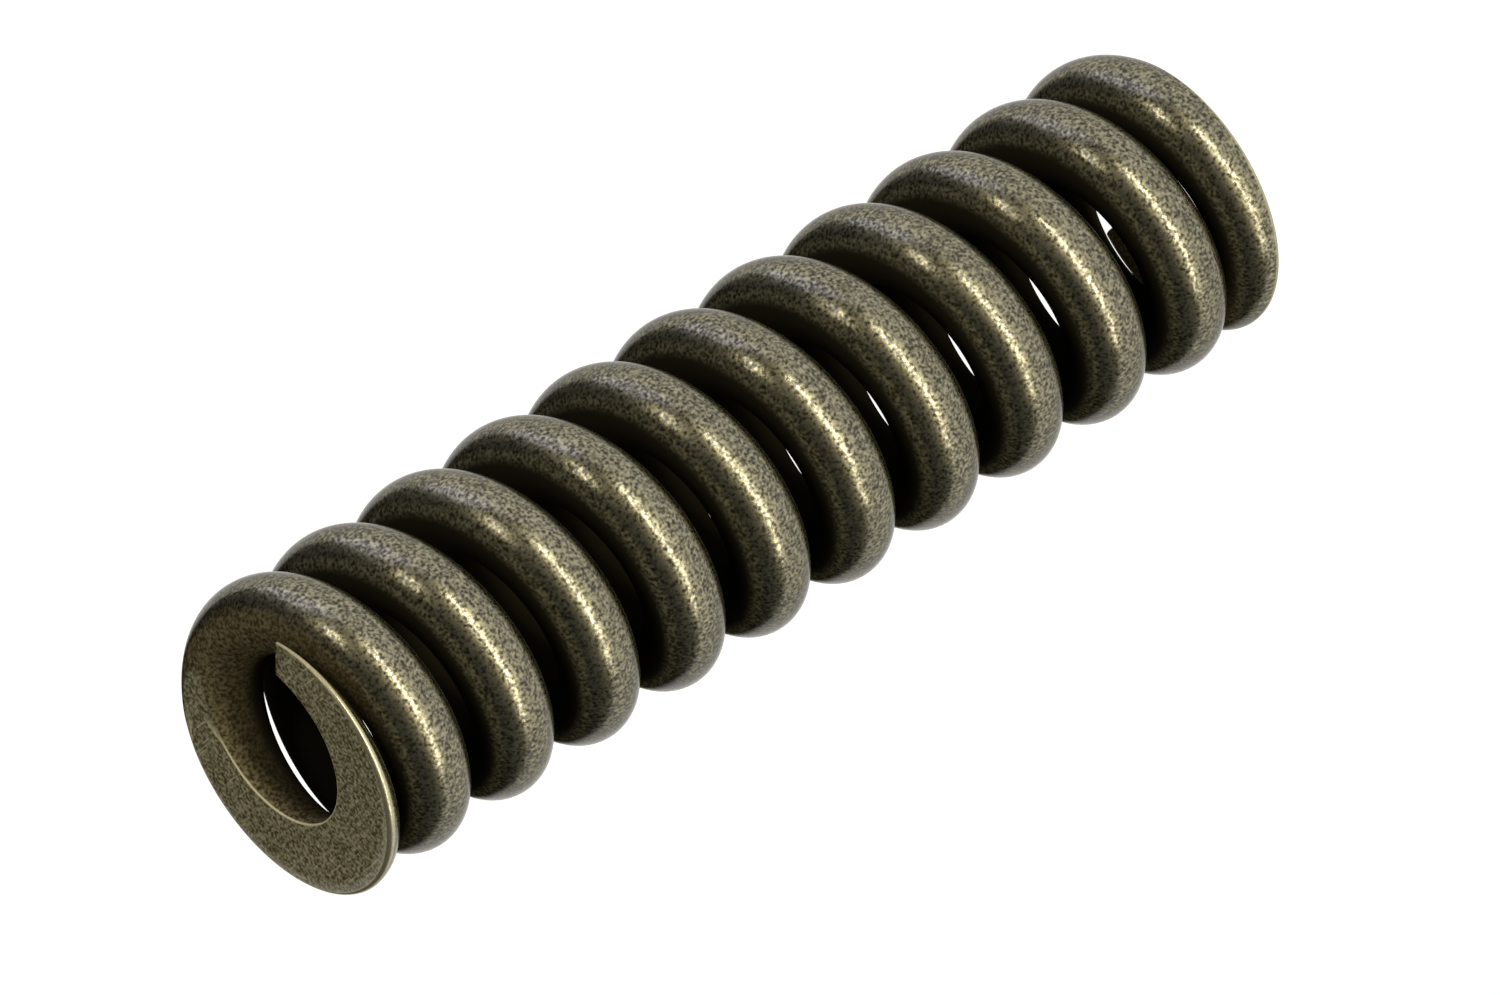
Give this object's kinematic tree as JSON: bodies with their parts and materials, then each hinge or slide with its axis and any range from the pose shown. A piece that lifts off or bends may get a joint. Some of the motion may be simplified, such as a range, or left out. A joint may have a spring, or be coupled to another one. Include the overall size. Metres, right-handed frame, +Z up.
{
  "type": "compression spring",
  "caption": "Round-wire compression spring, wound right-handed into a long close coil, with both ends closed down and ground flat so that it stands square on its seat.",
  "frame": {"origin": "on the coil's axis, in the plane of the lower ground end, where the spring stands", "axes": "+Z up the coil's axis towards the upper ground end, +X through the lower wire tip"},
  "size_m": [0.0128, 0.0128, 0.0475],
  "materials": {
    "spring_steel": "shot-peened dark olive-grey spring steel, dull, with bright ground end faces worn to the same grey"
  },
  "bodies": {
    "root": {"spring": "spring_steel"}
  },
  "joints": []
}
